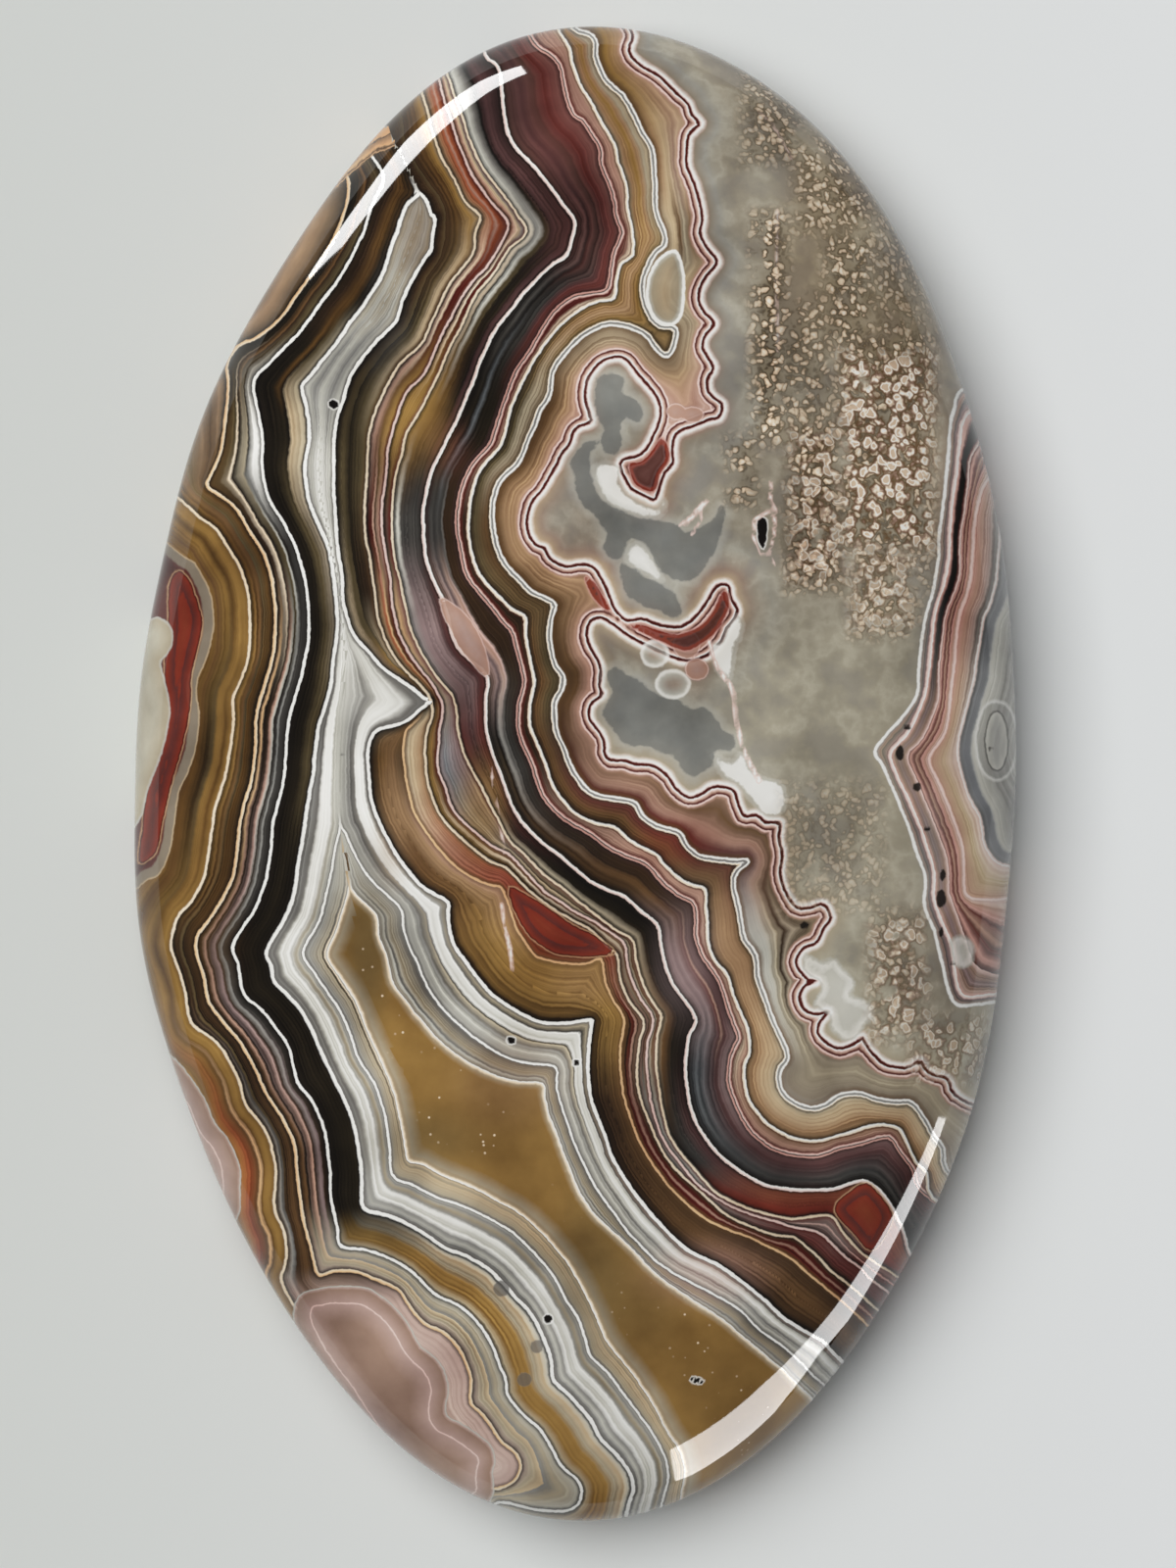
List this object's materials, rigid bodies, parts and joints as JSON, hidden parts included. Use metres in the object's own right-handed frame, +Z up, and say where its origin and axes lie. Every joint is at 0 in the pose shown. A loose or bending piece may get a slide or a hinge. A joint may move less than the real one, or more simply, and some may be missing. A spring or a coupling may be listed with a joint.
{
  "type": "laguna lace agate cabochon",
  "caption": "Polished oval cabochon of banded lace agate with a low domed face, a short upright edge rounded under, and a flat back it rests on.",
  "frame": {"origin": "middle of the stone's length and width, on the plane of its flat back", "axes": "+Z up through the dome, out of the polished face; +Y along the long axis towards the narrower end, the top of the picture; +X to the right as the face is seen"},
  "size_m": [0.0294, 0.05, 0.007],
  "materials": {
    "agate": "polished"
  },
  "bodies": {
    "root": {"agate_cabochon": "agate"}
  },
  "joints": []
}
